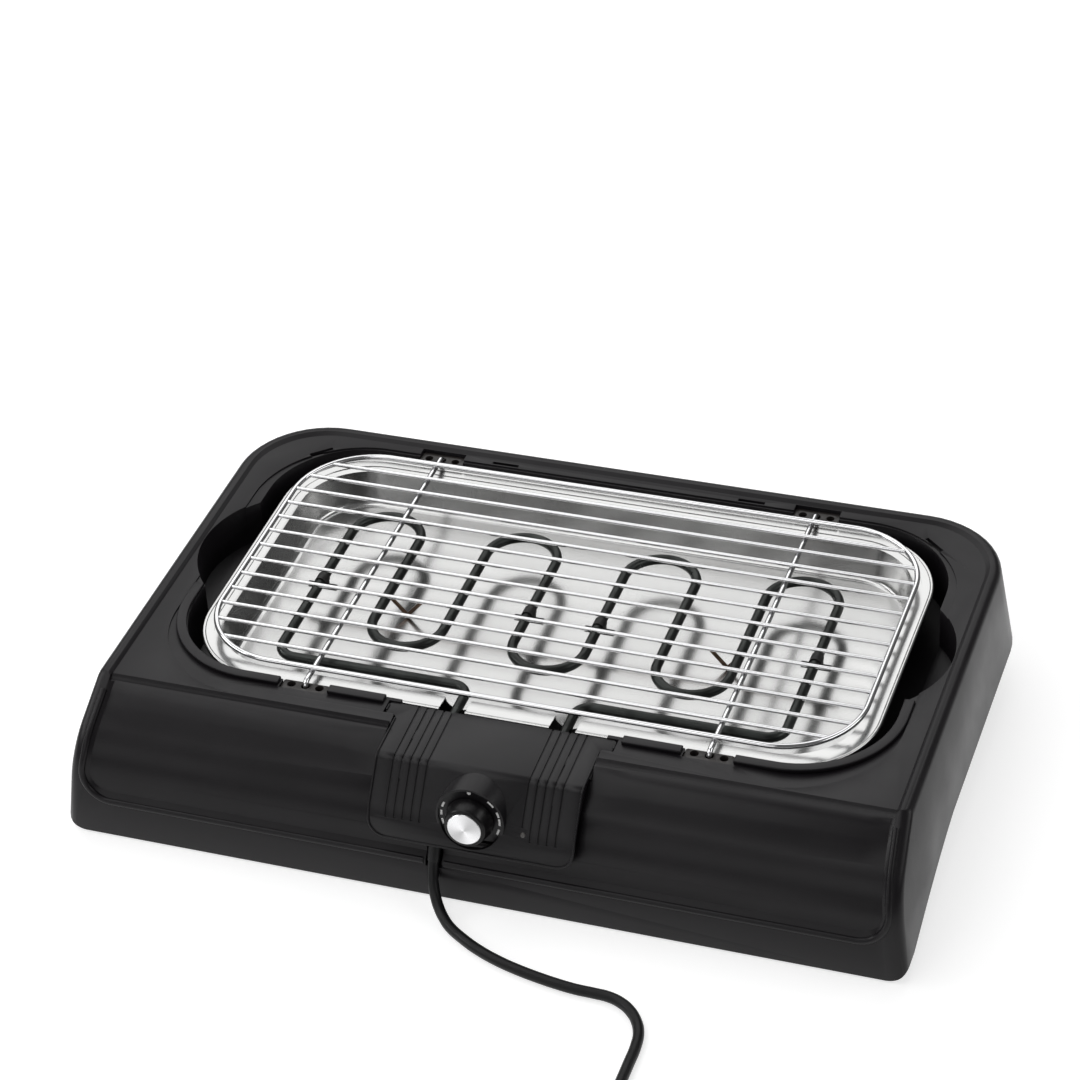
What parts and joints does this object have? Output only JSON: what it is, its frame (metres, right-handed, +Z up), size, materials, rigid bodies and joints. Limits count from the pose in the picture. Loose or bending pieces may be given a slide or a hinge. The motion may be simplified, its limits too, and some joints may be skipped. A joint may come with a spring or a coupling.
{
  "type": "electric table barbecue",
  "caption": "Electric table barbecue: black moulded housing, lift-out metal water tray, serpentine tubular heater on a plug-in control unit with dial, and a chrome wire grille that lifts off.",
  "frame": {"origin": "middle of the bottom of the appliance's box, on the table, measured without the mains cord", "axes": "+X to the right along the width, -Y towards the user's side with the dial, +Z up"},
  "size_m": [0.5463, 0.5943, 0.093],
  "materials": {
    "brass": "nickel plated",
    "cap": "turned, bright",
    "chrome": "bright",
    "clip": "dark, heat-blackened",
    "cord": "matt",
    "cover": "fine satin texture",
    "element": "dull, heat-darkened, with a green-grey tint",
    "housing": "fine satin texture",
    "insulator": "matt",
    "knob": "satin",
    "lamp": "clear amber",
    "lead": "woven glass sleeve",
    "lens": "clear, unlit",
    "plunger": "smooth",
    "rest": "semi-matt phenolic",
    "rubber": "matt",
    "steel": "zinc plated",
    "switch": "matt",
    "tray": "bright satin, coated",
    "wire_brown": "dull, heat-browned"
  },
  "bodies": {
    "housing_unit": {"base_housing": "housing", "grille_rest_front_left": "rest", "grille_rest_front_right": "rest", "grille_rest_rear_left": "rest", "grille_rest_rear_right": "rest", "rubber_foot_front_left": "rubber", "rubber_foot_front_right": "rubber", "rubber_foot_rear_left": "rubber", "rubber_foot_rear_right": "rubber"},
    "tray": {"water_tray": "tray"},
    "heater_unit": {"heating_element": "element", "element_support_wire": "wire_brown", "element_clip_1": "clip", "element_clip_4": "clip", "element_clip_5": "clip", "element_clip_8": "clip", "element_bracket": "steel", "bracket_screws": "steel", "control_cover": "cover", "control_back_shell": "cover", "cover_screws": "steel", "thermostat": "insulator", "terminal_block": "insulator", "internal_leads": "lead", "indicator_lens": "lens", "indicator_lamp": "lamp", "safety_switch": "switch", "cord_clamp": "insulator", "clamp_screws": "steel", "strain_relief": "cord", "power_cord": "cord", "cord_coil": "cord", "cord_tail": "cord", "plug_body": "cord", "plug_pins": "steel", "plug_earth_clips": "brass"},
    "switch_button": {"switch_plunger": "plunger"},
    "dial_knob": {"thermostat_shaft": "steel", "knob": "knob", "knob_cap": "cap"},
    "grille": {"grille_frame": "chrome", "grille_bars": "chrome", "cross_wire_left": "chrome", "cross_wire_right": "chrome"}
  },
  "joints": [
    {"name": "tray_lift", "type": "slide", "parent": "housing_unit", "child": "tray", "axis": [0, 0, 1], "range_m": [0, 0.12]},
    {"name": "heater_lift", "type": "slide", "parent": "tray", "child": "heater_unit", "axis": [0, 0, 1], "range_m": [0, 0.12]},
    {"name": "grille_lift", "type": "slide", "parent": "heater_unit", "child": "grille", "axis": [0, 0, 1], "range_m": [0, 0.12]},
    {"name": "knob_turn", "type": "hinge", "parent": "heater_unit", "child": "dial_knob", "pos_m": [0, -0.16314, 0.062], "axis": [0, -0.9962, 0.0872], "range_deg": [-270, 0]},
    {"name": "switch_press", "type": "slide", "parent": "heater_unit", "child": "switch_button", "axis": [0, 0, 1], "range_m": [0, 0.0015], "stiffness_N_per_m": 300}
  ]
}
